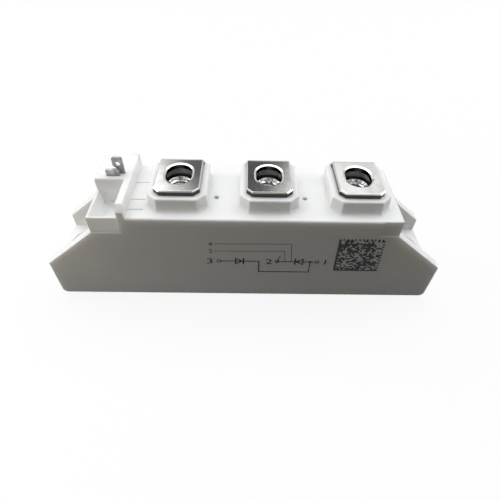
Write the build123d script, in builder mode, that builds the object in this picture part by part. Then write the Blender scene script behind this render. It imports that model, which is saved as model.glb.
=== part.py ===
"""Half-controlled bridge leg: one thyristor and one diode in an isolated power module.

Millimetres. +X runs along the length, from the control tabs to the far end, +Y to the
rear and +Z up. The origin is the centre of the base plate's underside.
"""

import os

from build123d import *

# Overall width and mounting
width = 20.0
mounting_hole_from_end = 6.5
mounting_hole_d = 6.2
washer_seat_d = 11.6

# Housing shell, seen from the front
rim_gap = 0.3
rim_wall = 1.2
wing_length = 12.5
wing_end_height = 11.2
shoulder_height = 21.4
right_margin = 2.5
wing_floor_height = 7.8
wing_floor_thickness = 1.9
wing_wall = 2.7
end_wall = 2.4
side_wall = 2.0
roof_thickness = 2.0
seat_collar_wall = 1.2
top_edge_radius = 0.5
foot_corner_radius = 1.3
edge_bevel = 0.25
level_tolerance = 0.001

# Set-back bands at both ends of the upper front and rear faces
band_setback = 0.2
right_band_length = 4.2

# Raised seats for the screw terminals
terminal_pitch = 20.0
first_seat_gap = 4.35
seat_width = 13.0
seat_front_margin = 2.6
seat_rear_margin = 1.7
seat_height = 3.15
seat_corner = 2.1
seat_draft = 2.0
seat_root_radius = 0.75

# Terminal plates and their legs
terminal_top_height = 30.0
seat_gap = 0.05
plate_width = 10.0
plate_front_reach = 6.0
plate_rear_reach = 7.1
plate_thickness = 1.2
plate_corner = 1.3
plate_edge_bevel = 0.25
screw_slot_width = 5.8
screw_slot_length = 7.4
screw_slot_rearward = 0.45
screw_slot_bevel = 0.4
screw_slot_bevel_depth = 0.2
plate_bend_radius = 0.7
leg_width = 7.0
leg_shoulder_rise = 0.8
leg_bend_radius = 1.5
jog_start_height = 14.0
jog_end_height = 11.6
jog_depth = 2.1
foot_reach = 7.6
slot_clearance = 0.12

# Captive M5 nuts
nut_across_flats = 8.0
nut_height = 4.0
nut_bore_d = 4.2
nut_countersink = 0.45
nut_clearance = 0.15
nut_drop = 1.2
nut_boss_wall = 1.0
screw_well_d = 5.8
screw_well_depth = 5.6
screw_well_wall = 1.3

# Control bay at the left end
divider_thickness = 1.5
divider_rise = 3.0
divider_nose_bevel = 1.4
divider_flare = 0.15
bay_inner_length = 6.1
bay_rim_end = 0.55
bay_rim_front = 0.7
tray_depth = 3.7
tray_floor_thickness = 1.4
tray_corner_radius = 0.9
block_front = -0.1
block_front_wall = 0.7

# Control tabs
gate_tab_width = 2.3
gate_tab_thickness = 0.5
gate_tab_rise = 4.0
gate_tab_front = 2.15
gate_tab_hole_d = 1.1
gate_tab_hole_from_top = 1.6
gate_tab_shoulder_from_top = 2.05
gate_tab_stem_width = 1.2
gate_tab_stem_from_top = 3.0
gate_tab_from_divider = 0.25
cathode_tab_width = 2.9
cathode_tab_thickness = 0.5
cathode_tab_rise = 1.6
cathode_tab_front = 1.2
cathode_tab_stagger = 1.05
tab_root_below_roof = 2.6
tab_clearance = 0.05
tab_tip_bevel = 0.25

# Roof details
vent_d = 1.1
vent_from_middle = 1.7
vent_y = -2.3
groove_width = 0.3
groove_depth = 0.2
groove_length = 3.4
groove_places = [-6.85, -3.45, 2.8]

# Base plate and insulating substrate
base_thickness = 3.0
base_gap = 0.12
base_corner_radius = 1.0
base_edge_bevel = 0.3
adhesive_thickness = 0.15
solder_thickness = 0.1
foil_thickness = 0.3
ceramic_thickness = 0.6
substrate_end_gap = 0.6
substrate_side_gap = 0.5
foil_margin = 0.6
pad_margin = 1.0

# Semiconductor dies and their contact discs
die_size = 9.5
die_thickness = 0.4
disc_d = 8.0
disc_thickness = 0.5
gate_opening_d = 2.4

# Control leads and gel
lead_d = 0.9
lead_corner_cut = 2.0
lead_run_below_well = 2.3
lead_run_spacing = 2.2
cathode_lead_left = 2.0
cathode_lead_front = 2.6
gel_level = 10.0

# Places that follow from the sizes above
plate_underside = terminal_top_height - plate_thickness
plate_middle = terminal_top_height - plate_thickness / 2
seat_top_height = plate_underside - seat_gap
roof_height = seat_top_height - seat_height
divider_height = roof_height + divider_rise

bay_length = bay_rim_end + bay_inner_length + divider_thickness
body_length = bay_length + first_seat_gap + 2 * terminal_pitch + seat_width + right_margin
half_body = body_length / 2
half_length = half_body + wing_length
half_width = width / 2
seat_front_reach = half_width - seat_front_margin
seat_rear_reach = half_width - seat_rear_margin
mounting_xs = [mounting_hole_from_end - half_length, half_length - mounting_hole_from_end]
first_terminal_x = bay_length + first_seat_gap + seat_width / 2 - half_body
diode_x, thyristor_x, common_x = [first_terminal_x + i * terminal_pitch for i in range(3)]
terminal_xs = [diode_x, thyristor_x, common_x]

ledge_height = base_thickness + adhesive_thickness
wing_inner_y = half_width - wing_wall
cavity_half_width = half_width - side_wall
cavity_half_length = half_body - end_wall
roof_underside = roof_height - roof_thickness
base_length = 2 * (half_length - rim_wall)
base_width = width - 2 * rim_wall
core_length = half_length - half_body - 2 * rim_wall

tray_left = -half_body + bay_rim_end
tray_front = -half_width + bay_rim_front
divider_left = tray_left + bay_inner_length
divider_right = divider_left + divider_thickness
tray_floor_height = roof_height - tray_depth
tray_underside = tray_floor_height - tray_floor_thickness

leg_y = plate_rear_reach - plate_thickness / 2
leg_low_y = leg_y - jog_depth
leg_shoulder_height = roof_underside + leg_shoulder_rise
nut_top = plate_underside - nut_drop
nut_bottom = nut_top - nut_height
nut_pocket_r = nut_across_flats / 2 + nut_clearance
screw_well_bottom = nut_bottom - screw_well_depth
well_outer_d = screw_well_d + 2 * screw_well_wall
cathode_lead_height = screw_well_bottom - screw_well_wall - lead_run_below_well
gate_lead_height = cathode_lead_height - lead_run_spacing

foil_bottom = base_thickness + solder_thickness
ceramic_bottom = foil_bottom + foil_thickness
pad_bottom = ceramic_bottom + ceramic_thickness
pad_top = pad_bottom + foil_thickness
die_bottom = pad_top + solder_thickness
die_top = die_bottom + die_thickness
disc_top = die_top + disc_thickness
foot_top = disc_top + plate_thickness

tab_root_height = roof_underside - tab_root_below_roof
gate_tab_top = divider_height + gate_tab_rise
gate_tab_shoulder_height = gate_tab_top - gate_tab_shoulder_from_top
gate_tab_stem_height = gate_tab_top - gate_tab_stem_from_top
cathode_tab_top = divider_height + cathode_tab_rise
gate_tab_right = divider_left - gate_tab_from_divider
gate_tab_left = gate_tab_right - gate_tab_width
gate_stem_left = gate_tab_right - gate_tab_stem_width
gate_stem_x = (gate_stem_left + gate_tab_right) / 2
cathode_tab_right = gate_tab_right - cathode_tab_stagger
cathode_tab_x = cathode_tab_right - cathode_tab_width / 2
gate_tab_y = gate_tab_front + gate_tab_thickness / 2
cathode_tab_y = cathode_tab_front + cathode_tab_thickness / 2


def write(piece, name):
    """Label a finished piece and write its STEP file."""
    piece.part.label = name
    export_step(piece.part, "parts/" + name + ".step")


def rectangle_between(left, right, front, rear):
    """A rectangle in the current sketch, given by its four sides."""
    with Locations(((left + right) / 2, (front + rear) / 2)):
        return Rectangle(right - left, rear - front)


def level_edges(piece, height):
    """The edges of a piece that lie at one height."""
    return piece.edges().filter_by_position(Axis.Z, height - level_tolerance, height + level_tolerance)


def wing_core(hole_x):
    """The hollow under one wing floor, round the collar of its washer seat."""
    side = 1 if hole_x > 0 else -1
    start = side * half_body
    end = side * (half_body + core_length)
    rectangle_between(min(start, end), max(start, end), -wing_inner_y, wing_inner_y)
    with Locations((hole_x, 0)):
        Circle(washer_seat_d / 2 + seat_collar_wall, mode=Mode.SUBTRACT)


def round_layer(place_x, diameter, bottom, height, opening=0.0):
    """A flat disc at a terminal, with an opening for the gate contact where given."""
    with BuildPart() as layer:
        with BuildSketch(Plane.XY.offset(bottom)):
            with Locations((place_x, 0)):
                Circle(diameter / 2)
                if opening:
                    Circle(opening / 2, mode=Mode.SUBTRACT)
        extrude(amount=height)
    return layer


def square_layer(place_x, long_side, short_side, bottom, height):
    """A flat rectangular layer, centred on the module's middle line."""
    with BuildPart() as layer:
        with BuildSketch(Plane.XY.offset(bottom)):
            with Locations((place_x, 0)):
                Rectangle(long_side, short_side)
        extrude(amount=height)
    return layer


def control_lead(start, run_height, tab_x, tab_y):
    """A round lead that rises, crosses the cavity and rises again to a tab's root."""
    foot = Vector(*start)
    near = Vector(foot.X, foot.Y, run_height)
    far = Vector(tab_x, tab_y, run_height)
    along = (far - near).normalized() * lead_corner_cut
    rise = Vector(0, 0, lead_corner_cut)
    with BuildPart() as lead:
        with BuildLine() as route:
            Polyline(
                foot,
                near - rise,
                near + along,
                far - along,
                far + rise,
                Vector(tab_x, tab_y, tab_root_height),
            )
        with BuildSketch(Plane.XY.offset(foot.Z)):
            with Locations((foot.X, foot.Y)):
                Circle(lead_d / 2)
        sweep(path=route.line, transition=Transition.RIGHT)
    return lead


os.makedirs("parts", exist_ok=True)

# Housing: one moulding, begun as the winged outline across the full width
with BuildPart() as housing:
    with BuildSketch(Plane.XZ):
        with BuildLine():
            Polyline(
                (-half_length, rim_gap),
                (half_length, rim_gap),
                (half_length, wing_end_height),
                (half_body, shoulder_height),
                (half_body, roof_height),
                (-half_body, roof_height),
                (-half_body, shoulder_height),
                (-half_length, wing_end_height),
                close=True,
            )
        make_face()
    extrude(amount=half_width, both=True)
    fillet(housing.edges().filter_by(Axis.Y).group_by(Axis.Z)[0], radius=foot_corner_radius)
    fillet(housing.edges().filter_by(Axis.X).group_by(Axis.Z)[-1], radius=top_edge_radius)

    # Screw bays between the wing walls, open at the top and at the ends
    with BuildSketch(Plane.XY.offset(wing_floor_height)):
        rectangle_between(half_body, half_length, -wing_inner_y, wing_inner_y)
        rectangle_between(-half_length, -half_body, -wing_inner_y, wing_inner_y)
    extrude(amount=roof_height - wing_floor_height, mode=Mode.SUBTRACT)

    # Set-back bands on the front and rear faces, above the shoulders
    with BuildSketch(Plane.XY.offset(shoulder_height)):
        for face_y in (-half_width, half_width):
            inner, outer = face_y - band_setback, face_y + band_setback
            rectangle_between(-half_body, divider_left, inner, outer)
            rectangle_between(half_body - right_band_length, half_body, inner, outer)
    extrude(amount=roof_height - shoulder_height, mode=Mode.SUBTRACT)

    # Left end squared up as the walls of the control bay, then the block behind the tray
    bay_y = half_width - band_setback
    with BuildSketch(Plane.XY.offset(shoulder_height)):
        rectangle_between(-half_body, divider_left, -bay_y, bay_y)
    extrude(amount=roof_height - shoulder_height)
    with BuildSketch(Plane.XY.offset(shoulder_height)):
        rectangle_between(-half_body, divider_left, block_front, bay_y)
    extrude(amount=divider_height - shoulder_height)

    # Divider: a drafted wall across the full width, with a bevelled nose at the front
    with BuildSketch(Plane.XZ):
        with BuildLine():
            Polyline(
                (divider_left, divider_height),
                (divider_right, divider_height),
                (divider_right + divider_flare, shoulder_height),
                (divider_left, shoulder_height),
                close=True,
            )
        make_face()
    extrude(amount=half_width, both=True)
    crest = housing.edges().filter_by(Axis.X).group_by(Axis.Z)[-1]
    chamfer(crest.sort_by(Axis.Y)[0], length=divider_nose_bevel)

    # Raised seats for the screw terminals, with drafted sides and a rounded root
    with BuildSketch(Plane.XY.offset(roof_height)) as seats:
        for seat_x in terminal_xs:
            left, right = seat_x - seat_width / 2, seat_x + seat_width / 2
            rectangle_between(left, right, -seat_front_reach, seat_rear_reach)
        chamfer(seats.vertices(), length=seat_corner)
    extrude(amount=seat_height, taper=seat_draft)
    roots = level_edges(housing, roof_height)
    roots = roots.filter_by_position(Axis.Y, -seat_front_reach, seat_rear_reach)
    roots = roots.filter_by_position(Axis.X, divider_right + seat_root_radius, half_body - seat_root_radius)
    fillet(roots, radius=seat_root_radius)
    chamfer(level_edges(housing, seat_top_height), length=edge_bevel)
    crest = level_edges(housing, divider_height)
    crest = crest.filter_by_position(Axis.X, -half_body - level_tolerance, divider_left - level_tolerance)
    chamfer(crest, length=edge_bevel)

    # Tray in front of the block, with a rounded floor
    with BuildSketch(Plane.XY.offset(roof_height)):
        rectangle_between(tray_left, divider_left, tray_front, block_front)
    extrude(amount=-tray_depth, mode=Mode.SUBTRACT)
    fillet(level_edges(housing, tray_floor_height), radius=tray_corner_radius)

    # Rebate for the base plate, cores under the wing floors and the washer seats
    with BuildSketch(Plane.XY):
        RectangleRounded(base_length + 2 * base_gap, base_width + 2 * base_gap, base_corner_radius)
    extrude(amount=ledge_height, mode=Mode.SUBTRACT)
    with BuildSketch(Plane.XY.offset(ledge_height)):
        wing_core(mounting_xs[0])
    extrude(amount=wing_floor_height - wing_floor_thickness - ledge_height, mode=Mode.SUBTRACT)
    with BuildSketch(Plane.XY.offset(ledge_height)):
        wing_core(mounting_xs[1])
    extrude(amount=wing_floor_height - wing_floor_thickness - ledge_height, mode=Mode.SUBTRACT)
    with BuildSketch(Plane.XY.offset(ledge_height)):
        with Locations([(hole_x, 0) for hole_x in mounting_xs]):
            Circle(washer_seat_d / 2)
    extrude(amount=wing_floor_height - ledge_height, mode=Mode.SUBTRACT)

    # Inner cavity: full height under the roof and the block, lower under the tray
    with BuildSketch(Plane.XY.offset(ledge_height)):
        rectangle_between(-cavity_half_length, cavity_half_length, -cavity_half_width, cavity_half_width)
    extrude(amount=tray_underside - ledge_height, mode=Mode.SUBTRACT)
    with BuildSketch(Plane.XY.offset(tray_underside)):
        rectangle_between(divider_right, cavity_half_length, -cavity_half_width, cavity_half_width)
        rectangle_between(
            -cavity_half_length, divider_right, block_front + block_front_wall, cavity_half_width
        )
    extrude(amount=roof_underside - tray_underside, mode=Mode.SUBTRACT)

    # Bosses round the nut pockets and closed wells for the screw tips, hung under the roof
    seat_centres = [(seat_x, 0) for seat_x in terminal_xs]
    with BuildSketch(Plane.XY.offset(nut_bottom - nut_boss_wall)):
        with Locations(seat_centres):
            RegularPolygon(nut_pocket_r + nut_boss_wall, 6, major_radius=False)
    extrude(amount=roof_underside - nut_bottom + nut_boss_wall)
    with BuildSketch(Plane.XY.offset(screw_well_bottom - screw_well_wall)):
        with Locations(seat_centres):
            Circle(well_outer_d / 2)
    extrude(amount=roof_underside - screw_well_bottom + screw_well_wall)
    with BuildSketch(Plane.XY.offset(screw_well_bottom)):
        with Locations(seat_centres):
            Circle(screw_well_d / 2)
    extrude(amount=seat_top_height - screw_well_bottom, mode=Mode.SUBTRACT)

    # Hexagonal nut pockets, and stepped slots for the terminal legs
    with BuildSketch(Plane.XY.offset(nut_bottom)):
        with Locations(seat_centres):
            RegularPolygon(nut_pocket_r, 6, major_radius=False)
    extrude(amount=seat_top_height - nut_bottom, mode=Mode.SUBTRACT)
    slot_depth = plate_thickness + 2 * slot_clearance
    with BuildSketch(Plane.XY.offset(roof_underside)):
        with Locations([(seat_x, leg_y) for seat_x in terminal_xs]):
            Rectangle(leg_width + 2 * slot_clearance, slot_depth)
    extrude(amount=leg_shoulder_height - roof_underside, mode=Mode.SUBTRACT)
    with BuildSketch(Plane.XY.offset(leg_shoulder_height - slot_clearance)):
        with Locations([(seat_x, leg_y) for seat_x in terminal_xs]):
            Rectangle(plate_width + 2 * slot_clearance, slot_depth)
    extrude(amount=seat_top_height - leg_shoulder_height + slot_clearance, mode=Mode.SUBTRACT)

    # Slots for the control tabs, through the block
    with BuildSketch(Plane.XY.offset(roof_underside)):
        with Locations((gate_stem_x, gate_tab_y)):
            Rectangle(gate_tab_stem_width + 2 * tab_clearance, gate_tab_thickness + 2 * tab_clearance)
        with Locations((cathode_tab_x, cathode_tab_y)):
            Rectangle(cathode_tab_width + 2 * tab_clearance, cathode_tab_thickness + 2 * tab_clearance)
    extrude(amount=divider_height - roof_underside, mode=Mode.SUBTRACT)

    # Filling vents between the seats, and shallow grooves beside the divider
    vents = [(seat_x + terminal_pitch / 2 - vent_from_middle, vent_y) for seat_x in terminal_xs[:2]]
    with BuildSketch(Plane.XY.offset(roof_underside)):
        with Locations(vents):
            Circle(vent_d / 2)
    extrude(amount=roof_thickness, mode=Mode.SUBTRACT)
    with BuildSketch(Plane.XY.offset(roof_height - groove_depth)):
        with Locations([(divider_right + groove_length / 2, groove_y) for groove_y in groove_places]):
            Rectangle(groove_length, groove_width)
    extrude(amount=groove_depth, mode=Mode.SUBTRACT)
write(housing, "housing")

# Base plate with its two mounting holes
with BuildPart() as base_plate:
    with BuildSketch(Plane.XY):
        RectangleRounded(base_length, base_width, base_corner_radius)
        with Locations([(hole_x, 0) for hole_x in mounting_xs]):
            Circle(mounting_hole_d / 2, mode=Mode.SUBTRACT)
    extrude(amount=base_thickness)
    chamfer(base_plate.faces().sort_by(Axis.Z)[0].outer_wire().edges(), length=base_edge_bevel)
write(base_plate, "base_plate")

# Adhesive film between the base plate and the housing's ledge
with BuildPart() as adhesive_film:
    with BuildSketch(Plane.XY.offset(base_thickness)):
        RectangleRounded(base_length, base_width, base_corner_radius)
        Rectangle(2 * cavity_half_length, 2 * cavity_half_width, mode=Mode.SUBTRACT)
        with Locations([(hole_x, 0) for hole_x in mounting_xs]):
            Circle(washer_seat_d / 2, mode=Mode.SUBTRACT)
    extrude(amount=adhesive_thickness)
    for hole_x in mounting_xs:
        with BuildSketch(Plane.XY.offset(base_thickness)):
            wing_core(hole_x)
        extrude(amount=adhesive_thickness, mode=Mode.SUBTRACT)
write(adhesive_film, "adhesive_film")

# Insulating substrate: solder, lower foil, ceramic and the pad that both dies share
stack_x = (diode_x + common_x) / 2
ceramic_length = 2 * (cavity_half_length - substrate_end_gap - stack_x)
ceramic_width = 2 * (cavity_half_width - substrate_side_gap)
foil_length = ceramic_length - 2 * foil_margin
foil_width = ceramic_width - 2 * foil_margin
pad_length = ceramic_length - 2 * pad_margin
pad_width = ceramic_width - 2 * pad_margin
substrate_solder = square_layer(stack_x, foil_length, foil_width, base_thickness, solder_thickness)
write(substrate_solder, "substrate_solder")
lower_foil = square_layer(stack_x, foil_length, foil_width, foil_bottom, foil_thickness)
write(lower_foil, "lower_foil")
ceramic_plate = square_layer(stack_x, ceramic_length, ceramic_width, ceramic_bottom, ceramic_thickness)
write(ceramic_plate, "ceramic_plate")
common_pad = square_layer(stack_x, pad_length, pad_width, pad_bottom, foil_thickness)
write(common_pad, "common_pad")

# Diode stack: solder, die and contact disc
diode_solder = square_layer(diode_x, die_size, die_size, pad_top, solder_thickness)
write(diode_solder, "diode_solder")
diode_die = square_layer(diode_x, die_size, die_size, die_bottom, die_thickness)
write(diode_die, "diode_die")
diode_disc = round_layer(diode_x, disc_d, die_top, disc_thickness)
write(diode_disc, "diode_disc")

# Thyristor stack: its contact disc is open in the middle for the gate
thyristor_solder = square_layer(thyristor_x, die_size, die_size, pad_top, solder_thickness)
write(thyristor_solder, "thyristor_solder")
thyristor_die = square_layer(thyristor_x, die_size, die_size, die_bottom, die_thickness)
write(thyristor_die, "thyristor_die")
thyristor_disc = round_layer(thyristor_x, disc_d, die_top, disc_thickness, gate_opening_d)
write(thyristor_disc, "thyristor_disc")


def folded_terminal(place_x, foot_underside, gate_opening=0.0):
    """A strip folded over its nut, led down through the roof and soldered by its foot."""
    foot_middle = foot_underside + plate_thickness / 2
    with BuildPart() as terminal:
        with BuildSketch(Plane.YZ.offset(place_x)):
            with BuildLine():
                FilletPolyline(
                    (-plate_front_reach, plate_middle),
                    (leg_y, plate_middle),
                    (leg_y, leg_shoulder_height),
                    radius=plate_bend_radius,
                )
            trace(line_width=plate_thickness)
        extrude(amount=plate_width / 2, both=True)
        chamfer(terminal.edges().filter_by(Axis.Z).group_by(Axis.Y)[0], length=plate_corner)

        # The narrower lower leg, with its strain-relief jog and foot
        with BuildSketch(Plane.YZ.offset(place_x)):
            with BuildLine():
                FilletPolyline(
                    (leg_y, leg_shoulder_height),
                    (leg_y, jog_start_height),
                    (leg_low_y, jog_end_height),
                    (leg_low_y, foot_middle),
                    (leg_low_y - foot_reach, foot_middle),
                    radius=leg_bend_radius,
                )
            trace(line_width=plate_thickness)
        extrude(amount=leg_width / 2, both=True)

        # Screw slot and bevelled upper edges
        with BuildSketch(Plane.XY.offset(plate_underside)):
            with Locations((place_x, screw_slot_rearward)):
                SlotOverall(screw_slot_length, screw_slot_width, rotation=90)
        extrude(amount=plate_thickness, mode=Mode.SUBTRACT)
        top_face = terminal.faces().filter_by(Axis.Z).sort_by(Axis.Z)[-1]
        slot_rim = top_face.inner_wires()[0].edges()
        chamfer(slot_rim, length=screw_slot_bevel, length2=screw_slot_bevel_depth, reference=top_face)
        top_face = terminal.faces().filter_by(Axis.Z).sort_by(Axis.Z)[-1]
        chamfer(top_face.outer_wire().edges().sort_by(Axis.Y)[:-1], length=plate_edge_bevel)
        if gate_opening:
            with Locations((place_x, 0, foot_underside + plate_thickness)):
                Hole(gate_opening / 2, depth=plate_thickness)
    return terminal


terminal_3 = folded_terminal(diode_x, disc_top)
write(terminal_3, "terminal_3")
terminal_2 = folded_terminal(thyristor_x, disc_top, gate_opening_d)
write(terminal_2, "terminal_2")
terminal_1 = folded_terminal(common_x, pad_top)
write(terminal_1, "terminal_1")

# Three captive nuts with countersunk bores
with BuildPart() as terminal_nuts:
    with BuildSketch(Plane.XY.offset(nut_bottom)):
        with Locations(seat_centres):
            RegularPolygon(nut_across_flats / 2, 6, major_radius=False)
            Circle(nut_bore_d / 2, mode=Mode.SUBTRACT)
    extrude(amount=nut_height)
    chamfer(terminal_nuts.edges().filter_by(GeomType.CIRCLE), length=nut_countersink)
write(terminal_nuts, "terminal_nuts")

# Gate tab: the tall blade, which narrows to a stem by a sloping shoulder on its left
with BuildPart() as gate_tab:
    with BuildSketch(Plane.XZ.offset(-gate_tab_front)) as blade:
        with BuildLine():
            Polyline(
                (gate_stem_left, tab_root_height),
                (gate_tab_right, tab_root_height),
                (gate_tab_right, gate_tab_top),
                (gate_tab_left, gate_tab_top),
                (gate_tab_left, gate_tab_shoulder_height),
                (gate_stem_left, gate_tab_stem_height),
                close=True,
            )
        make_face()
        chamfer(blade.vertices().group_by(Axis.Y)[-1], length=tab_tip_bevel)
        with Locations(((gate_tab_left + gate_tab_right) / 2, gate_tab_top - gate_tab_hole_from_top)):
            Circle(gate_tab_hole_d / 2, mode=Mode.SUBTRACT)
    extrude(amount=-gate_tab_thickness)
write(gate_tab, "gate_tab")

# Auxiliary cathode tab: the low blade in front of it
with BuildPart() as cathode_tab:
    with BuildSketch(Plane.XZ.offset(-cathode_tab_front)) as blade:
        left = cathode_tab_right - cathode_tab_width
        rectangle_between(left, cathode_tab_right, tab_root_height, cathode_tab_top)
        chamfer(blade.vertices().group_by(Axis.Y)[-1], length=tab_tip_bevel)
    extrude(amount=-cathode_tab_thickness)
write(cathode_tab, "cathode_tab")

# Control leads, from the thyristor to the roots of the tabs
gate_start = (thyristor_x, 0, die_top)
gate_lead = control_lead(gate_start, gate_lead_height, gate_stem_x, gate_tab_y)
write(gate_lead, "gate_lead")
cathode_start = (thyristor_x - cathode_lead_left, -cathode_lead_front, foot_top)
cathode_lead = control_lead(cathode_start, cathode_lead_height, cathode_tab_x, cathode_tab_y)
write(cathode_lead, "cathode_lead")

# Soft gel over the dies, moulded round everything that stands in it
with BuildPart() as silicone_gel:
    with BuildSketch(Plane.XY.offset(base_thickness)):
        Rectangle(2 * cavity_half_length, 2 * cavity_half_width)
    extrude(amount=gel_level - base_thickness)
    for piece in (
        substrate_solder,
        lower_foil,
        ceramic_plate,
        common_pad,
        diode_solder,
        diode_die,
        diode_disc,
        thyristor_solder,
        thyristor_die,
        thyristor_disc,
        terminal_1,
        terminal_2,
        terminal_3,
        gate_lead,
        cathode_lead,
    ):
        add(piece.part, mode=Mode.SUBTRACT)
write(silicone_gel, "silicone_gel")
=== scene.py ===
"""Dresses a half-controlled thyristor bridge module: finishes, threads, print and studio."""

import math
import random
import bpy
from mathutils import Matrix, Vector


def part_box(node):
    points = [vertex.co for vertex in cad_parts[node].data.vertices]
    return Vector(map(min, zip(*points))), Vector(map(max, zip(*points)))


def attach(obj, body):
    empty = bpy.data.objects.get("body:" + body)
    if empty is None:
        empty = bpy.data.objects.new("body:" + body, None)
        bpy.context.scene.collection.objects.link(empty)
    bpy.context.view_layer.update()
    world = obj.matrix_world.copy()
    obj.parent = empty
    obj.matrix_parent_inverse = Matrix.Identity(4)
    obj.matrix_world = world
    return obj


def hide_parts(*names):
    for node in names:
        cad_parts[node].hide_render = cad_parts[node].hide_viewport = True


bl_info = {
    "name": "Thyristor Bridge Module",
    "version": (1, 0, 0),
    "blender": (4, 5, 0),
    "location": "3D View > Sidebar > Bridge Module",
    "description": "Moulded case, plated terminals, threaded nuts and printed circuit of a power module",
    "category": "Object",
}

import bmesh
import bpy
from bpy.props import FloatProperty, FloatVectorProperty, IntProperty, PointerProperty
from mathutils import Matrix, Vector

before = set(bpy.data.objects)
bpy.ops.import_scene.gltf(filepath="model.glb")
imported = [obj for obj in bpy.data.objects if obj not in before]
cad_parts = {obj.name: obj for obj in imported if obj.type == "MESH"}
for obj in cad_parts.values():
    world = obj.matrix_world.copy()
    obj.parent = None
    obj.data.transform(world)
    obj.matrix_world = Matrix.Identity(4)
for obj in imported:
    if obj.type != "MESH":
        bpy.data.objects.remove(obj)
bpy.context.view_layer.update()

MM = 0.001
BODY = "root"
TERMINALS = ("terminal_3", "terminal_2", "terminal_1")
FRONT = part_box("housing")[0][1]
NUT_LOW, NUT_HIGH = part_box("terminal_nuts")

# Each mask runs from none to full between these two values.
EDGE_TURN = (1.0, 0.8)
FLOW_MARKS = (0.45, 0.75)
WORN_PATCHES = (0.40, 0.68)
THIN_INK = (0.26, 0.42)
# Painted dark reflection on the terminals' upright faces.
DARK_REFLECTION_TILT = (0.45, 0.15)
# Painted shade on the nuts' flat faces, which lie under the plates.
NUT_FACE_PAINTED_SHADE = (0.8, 0.97)

# Sockets of the Mix node where it mixes colours.
MIX_SHARE, MIX_FIRST, MIX_SECOND, MIX_RESULT = 0, 6, 7, 2

# Textures, with scales in cells to a metre and shares of the finer texture's height.
SPECK_SCALE = 1400.0
SPECK_SHARE = 0.35
RIPPLE_SCALE = 900.0
RIPPLE_SHARE = 2.2
SCRATCH_STRETCH = (1.0, 0.035, 1.0)

# The nuts: rows of points to a turn of the thread, its flats and flanks, and the bevels.
THREAD_ROWS = 14
ROOT_FLAT = 0.1
FLANK_SPAN = 0.75
COUNTERSINK_ANGLE = math.radians(45)
NUT_BEVEL_ANGLE = math.radians(30)

# The print: widths are in bold lines, and points in mm along the front and up from the base.
CAP_HEIGHT = 0.73
DIGIT_STRETCH = 1.5
SMALL_DIGIT_STRETCH = 1.1
CIRCLE_LINE = 0.8
NARROW_HOLE = 0.35
JUNCTION_RADIUS = 1.25
HAIRLINE_INK = 0.7
TERMINAL_DIGITS = (("3", (-8.4, 12.8)), ("2", (5.55, 12.8)), ("1", (18.9, 12.85)))
TAB_DIGITS = (("4", (-8.0, 18.5)), ("5", (-8.0, 16.2)))
OPEN_CIRCLES = ((-6.25, 12.78), (17.0, 12.8))
NARROW_CIRCLE = (7.5, 12.8)
JUNCTION = (15.35, 12.8)
CIRCUIT_PATHS = (
    # Width, then the points, for the diode, the return line, the gate mark and the thyristor.
    (1.0, ((-5.6, 12.8), (-2.3, 12.8))),
    (1.0, ((-2.3, 12.8), (-2.3, 13.7), (-0.75, 12.8), (-2.3, 11.9), (-2.3, 12.8), (-0.6, 12.8))),
    (1.3, ((-0.45, 13.7), (-0.45, 11.9))),
    (1.0, ((-0.4, 12.8), (3.2, 12.8), (3.2, 9.15), (15.35, 9.15), JUNCTION)),
    (0.7, ((7.55, 12.9), (8.05, 14.5))),
    (1.0, ((7.9, 12.8), (11.6, 12.8))),
    (1.3, ((11.75, 13.7), (11.75, 11.9))),
    (1.0, ((13.6, 12.8), (13.6, 13.75), (12.0, 12.8), (13.6, 11.85), (13.6, 12.8), (11.8, 12.8))),
    (1.0, ((13.6, 12.8), (16.35, 12.8))),
)
HAIRLINES = (
    ((-7.1, 18.5), (10.35, 18.7), (10.9, 13.0)),
    ((-7.1, 16.15), (9.0, 16.35), (9.35, 13.0)),
)
CODE_CORNERS = ((21.25, 9.8), (32.0, 9.8), (31.4, 20.5), (20.9, 20.5))
CODE_SEED = 7
CODE_FILL = 0.52

# The studio, in metres.
AIM = (0, 0, 0.02)
WHITE = (1.0, 1.0, 1.0)
LAMPS = (
    # Name, place, width, height, colour and the setting of its power.
    ("lamp_above", (0.0, 0.20, 0.68), 1.4, 0.7, (0.975, 0.995, 1.0), "key_power"),
    ("lamp_left_rear", (-0.341, 0.487, 0.565), 0.45, 0.27, WHITE, "left_power"),
    ("lamp_right_rear", (0.187, 0.585, 0.565), 0.19, 0.27, WHITE, "right_power"),
    ("lamp_left_side", (-0.54, 0.12, 0.22), 0.3, 0.2, WHITE, "left_side_power"),
    ("lamp_right_side", (0.54, 0.12, 0.22), 0.3, 0.2, WHITE, "right_side_power"),
    ("lamp_left_front", (-0.12, -0.07, 0.07), 0.08, 0.08, (1.0, 0.93, 0.84), "fill_power"),
)
CARDS = (
    # Name, place, half width, half height, soft rim, lean and share of the card level.
    ("card_behind", (-0.023, 0.55, 0.445), 0.112, 0.135, 0.044, 0.34, 1.0),
    ("card_in_front", (0.01, -0.34, 0.53), 0.16, 0.13, 0.07, 0.0, 3.0),
)
FLOOR_HALF = 2.5
FLOOR_GLOW = 0.88
FLOOR_GRAIN_SCALE = 40.0
FLOOR_GRAIN_TONE = 0.98
SKY_IN_METAL = 0.8
DIM_SKY = (1.0, 0.95, 0.88, 1.0)
SENSOR = 36.0
CLIP_RANGE = (0.001, 20.0)


def length_prop(name, description, millimetres):
    """A length with its default in millimetres, kept in metres."""
    metres = millimetres * MM
    return FloatProperty(name=name, description=description, default=metres, unit="LENGTH", precision=5)


def angle_prop(name, description, degrees):
    """An angle with its default in degrees."""
    return FloatProperty(name=name, description=description, default=math.radians(degrees), subtype="ANGLE")


def number_prop(name, description, default):
    """A plain number, such as a lamp's power."""
    return FloatProperty(name=name, description=description, default=default)


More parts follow.
